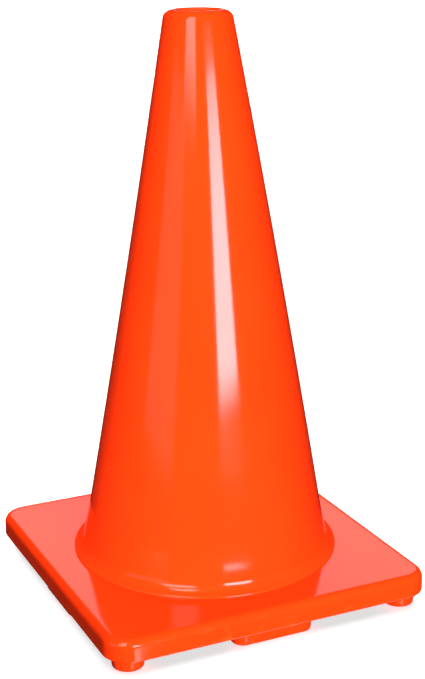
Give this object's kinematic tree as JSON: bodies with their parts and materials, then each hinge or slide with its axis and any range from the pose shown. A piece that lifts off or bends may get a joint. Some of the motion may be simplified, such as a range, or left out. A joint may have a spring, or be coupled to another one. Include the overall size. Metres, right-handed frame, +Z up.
{
  "type": "traffic cone",
  "caption": "Free-standing safety cone: hollow tapered vinyl sleeve with an open rounded top and flared foot on a weighted square base with low feet.",
  "frame": {"origin": "centre of the plane that the feet stand on", "axes": "+Z up along the cone's axis; X and Y square to the sides of the base; front is the -Y side"},
  "size_m": [0.27, 0.27, 0.4572],
  "materials": {
    "sleeve_vinyl": "glossy moulded vinyl",
    "base_vinyl": "glossy moulded vinyl",
    "foot_vinyl": "semi-gloss moulded vinyl",
    "ballast_vinyl": "dull recycled vinyl"
  },
  "bodies": {
    "root": {"cone_sleeve": "sleeve_vinyl", "base_shell": "base_vinyl", "ballast_ring": "ballast_vinyl", "corner_foot_front_left": "foot_vinyl", "corner_foot_front_right": "foot_vinyl", "corner_foot_back_right": "foot_vinyl", "corner_foot_back_left": "foot_vinyl", "side_foot_front": "foot_vinyl", "side_foot_right": "foot_vinyl", "side_foot_back": "foot_vinyl", "side_foot_left": "foot_vinyl"}
  },
  "joints": []
}
